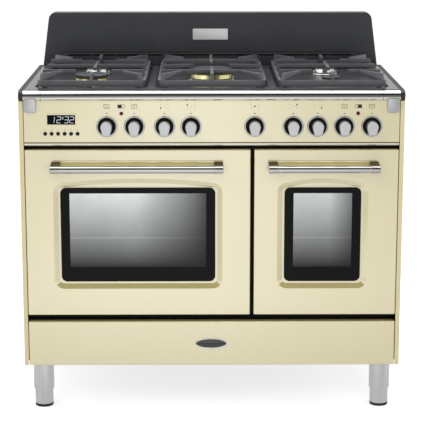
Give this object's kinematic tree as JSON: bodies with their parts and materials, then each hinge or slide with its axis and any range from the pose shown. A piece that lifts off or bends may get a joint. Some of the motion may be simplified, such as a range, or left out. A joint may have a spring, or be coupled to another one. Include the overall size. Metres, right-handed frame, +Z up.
{
  "type": "range cooker with double oven",
  "caption": "Freestanding enamelled range cooker with gas hob, wide and narrow drop-down oven doors, rotary knobs, clock, storage drawer, splashback and tubular legs.",
  "frame": {"origin": "centre of the footprint on the floor, under the middle of the overall box", "axes": "+Z up, front of the cooker faces -Y, +X to the right seen from the front"},
  "size_m": [1, 0.6514, 1.023],
  "materials": {
    "cream_enamel": "gloss",
    "black_enamel": "satin",
    "oven_enamel": "gloss",
    "hob_enamel": "gloss",
    "splash_enamel": "satin",
    "cap_enamel": "satin",
    "brushed_steel": "brushed",
    "polished_steel": "polished",
    "galvanised": "matte",
    "wire_chrome": "polished",
    "element_steel": "matte",
    "knob_silver": "satin",
    "gas_aluminium": "matte",
    "burner_brass": "satin",
    "cast_iron": "matte",
    "door_glass": "gloss",
    "display_black": "gloss",
    "button_black": "gloss",
    "lamp_red": "gloss",
    "switch_plastic": "matte",
    "seal_rubber": "matte"
  },
  "bodies": {
    "root": {"side_panels": "cream_enamel", "back_panel": "galvanised", "base_tray": "galvanised", "face_frame": "black_enamel", "leg_sleeves": "brushed_steel", "leg_feet": "brushed_steel", "left_oven_liner": "oven_enamel", "right_oven_liner": "oven_enamel", "door_seals": "seal_rubber", "shelf_ladders": "wire_chrome", "oven_shelves": "wire_chrome", "fan_motors": "galvanised", "heating_elements": "element_steel", "hinge_brackets": "galvanised", "drawer_runners": "galvanised", "control_panel": "cream_enamel", "clock_display": "display_black", "pilot_lamps": "lamp_red", "knob_bezels": "knob_silver", "oven_switches": "switch_plastic", "gas_rail": "gas_aluminium", "front_rail": "polished_steel", "rail_brackets": "brushed_steel", "worktop_trims": "brushed_steel", "hob_plate": "hob_enamel", "burner_cups": "polished_steel", "burner_crowns": "burner_brass", "burner_caps": "cap_enamel", "splashback": "splash_enamel", "flue_cover": "splash_enamel"},
    "left_door": {"left_door_skin": "cream_enamel", "left_door_liner": "oven_enamel", "left_door_glazing": "door_glass", "left_door_handle": "brushed_steel"},
    "right_door": {"right_door_skin": "cream_enamel", "right_door_liner": "oven_enamel", "right_door_glazing": "door_glass", "right_door_handle": "brushed_steel"},
    "drawer": {"drawer_front": "cream_enamel", "drawer_tray": "galvanised"},
    "left_oven_mode_knob_body": {"left_oven_mode_knob": "knob_silver"},
    "left_oven_heat_knob_body": {"left_oven_heat_knob": "knob_silver"},
    "front_left_gas_knob_body": {"front_left_gas_knob": "knob_silver"},
    "rear_left_gas_knob_body": {"rear_left_gas_knob": "knob_silver"},
    "wok_gas_knob_body": {"wok_gas_knob": "knob_silver"},
    "rear_right_gas_knob_body": {"rear_right_gas_knob": "knob_silver"},
    "front_right_gas_knob_body": {"front_right_gas_knob": "knob_silver"},
    "right_oven_mode_knob_body": {"right_oven_mode_knob": "knob_silver"},
    "right_oven_heat_knob_body": {"right_oven_heat_knob": "knob_silver"},
    "clock_button_1_body": {"clock_button_1": "button_black"},
    "clock_button_2_body": {"clock_button_2": "button_black"},
    "clock_button_3_body": {"clock_button_3": "button_black"},
    "clock_button_4_body": {"clock_button_4": "button_black"},
    "clock_button_5_body": {"clock_button_5": "button_black"},
    "clock_button_6_body": {"clock_button_6": "button_black"},
    "left_grate_body": {"left_grate": "cast_iron"},
    "middle_grate_body": {"middle_grate": "cast_iron"},
    "right_grate_body": {"right_grate": "cast_iron"},
    "left_fan_rotor": {"left_oven_fan": "galvanised"},
    "right_fan_rotor": {"right_oven_fan": "galvanised"}
  },
  "joints": [
    {"name": "left_door_drop", "type": "hinge", "parent": "root", "child": "left_door", "pos_m": [0, -0.25225, 0.2785], "axis": [1, 0, 0], "range_deg": [0, 90], "stiffness_Nm_per_rad": 6, "springref_deg": -34.38},
    {"name": "right_door_drop", "type": "hinge", "parent": "root", "child": "right_door", "pos_m": [0, -0.25225, 0.2785], "axis": [1, 0, 0], "range_deg": [0, 90], "stiffness_Nm_per_rad": 3.6, "springref_deg": -34.38},
    {"name": "drawer_slide", "type": "slide", "parent": "root", "child": "drawer", "axis": [0, -1, 0], "range_m": [0, 0.3]},
    {"name": "left_oven_mode_knob_turn", "type": "hinge", "parent": "root", "child": "left_oven_mode_knob_body", "pos_m": [-0.2723, -0.28425, 0.776], "axis": [0, 1, 0], "range_deg": [0, 315]},
    {"name": "left_oven_heat_knob_turn", "type": "hinge", "parent": "root", "child": "left_oven_heat_knob_body", "pos_m": [-0.2007, -0.28425, 0.776], "axis": [0, 1, 0], "range_deg": [0, 280]},
    {"name": "front_left_gas_knob_turn", "type": "hinge", "parent": "root", "child": "front_left_gas_knob_body", "pos_m": [-0.1226, -0.28425, 0.776], "axis": [0, -1, 0], "range_deg": [0, 210]},
    {"name": "rear_left_gas_knob_turn", "type": "hinge", "parent": "root", "child": "rear_left_gas_knob_body", "pos_m": [-0.0539, -0.28425, 0.776], "axis": [0, -1, 0], "range_deg": [0, 210]},
    {"name": "wok_gas_knob_turn", "type": "hinge", "parent": "root", "child": "wok_gas_knob_body", "pos_m": [0.1112, -0.28425, 0.776], "axis": [0, -1, 0], "range_deg": [0, 210]},
    {"name": "rear_right_gas_knob_turn", "type": "hinge", "parent": "root", "child": "rear_right_gas_knob_body", "pos_m": [0.2108, -0.28425, 0.776], "axis": [0, -1, 0], "range_deg": [0, 210]},
    {"name": "front_right_gas_knob_turn", "type": "hinge", "parent": "root", "child": "front_right_gas_knob_body", "pos_m": [0.2744, -0.28425, 0.776], "axis": [0, -1, 0], "range_deg": [0, 210]},
    {"name": "right_oven_mode_knob_turn", "type": "hinge", "parent": "root", "child": "right_oven_mode_knob_body", "pos_m": [0.3433, -0.28425, 0.776], "axis": [0, 1, 0], "range_deg": [0, 315]},
    {"name": "right_oven_heat_knob_turn", "type": "hinge", "parent": "root", "child": "right_oven_heat_knob_body", "pos_m": [0.4146, -0.28425, 0.776], "axis": [0, 1, 0], "range_deg": [0, 280]},
    {"name": "clock_button_1_press", "type": "slide", "parent": "root", "child": "clock_button_1_body", "axis": [0, 1, 0], "range_m": [0, 0.0015], "stiffness_N_per_m": 1000},
    {"name": "clock_button_2_press", "type": "slide", "parent": "root", "child": "clock_button_2_body", "axis": [0, 1, 0], "range_m": [0, 0.0015], "stiffness_N_per_m": 1000},
    {"name": "clock_button_3_press", "type": "slide", "parent": "root", "child": "clock_button_3_body", "axis": [0, 1, 0], "range_m": [0, 0.0015], "stiffness_N_per_m": 1000},
    {"name": "clock_button_4_press", "type": "slide", "parent": "root", "child": "clock_button_4_body", "axis": [0, 1, 0], "range_m": [0, 0.0015], "stiffness_N_per_m": 1000},
    {"name": "clock_button_5_press", "type": "slide", "parent": "root", "child": "clock_button_5_body", "axis": [0, 1, 0], "range_m": [0, 0.0015], "stiffness_N_per_m": 1000},
    {"name": "clock_button_6_press", "type": "slide", "parent": "root", "child": "clock_button_6_body", "axis": [0, 1, 0], "range_m": [0, 0.0015], "stiffness_N_per_m": 1000},
    {"name": "left_grate_lift", "type": "slide", "parent": "root", "child": "left_grate_body", "axis": [0, 0, 1], "range_m": [0, 0.15]},
    {"name": "middle_grate_lift", "type": "slide", "parent": "root", "child": "middle_grate_body", "axis": [0, 0, 1], "range_m": [0, 0.15]},
    {"name": "right_grate_lift", "type": "slide", "parent": "root", "child": "right_grate_body", "axis": [0, 0, 1], "range_m": [0, 0.15]},
    {"name": "left_fan_spin", "type": "hinge", "parent": "root", "child": "left_fan_rotor", "pos_m": [-0.193, 0.15575, 0.479], "axis": [0, 1, 0], "continuous": true},
    {"name": "right_fan_spin", "type": "hinge", "parent": "root", "child": "right_fan_rotor", "pos_m": [0.2988, 0.15575, 0.479], "axis": [0, 1, 0], "continuous": true}
  ]
}
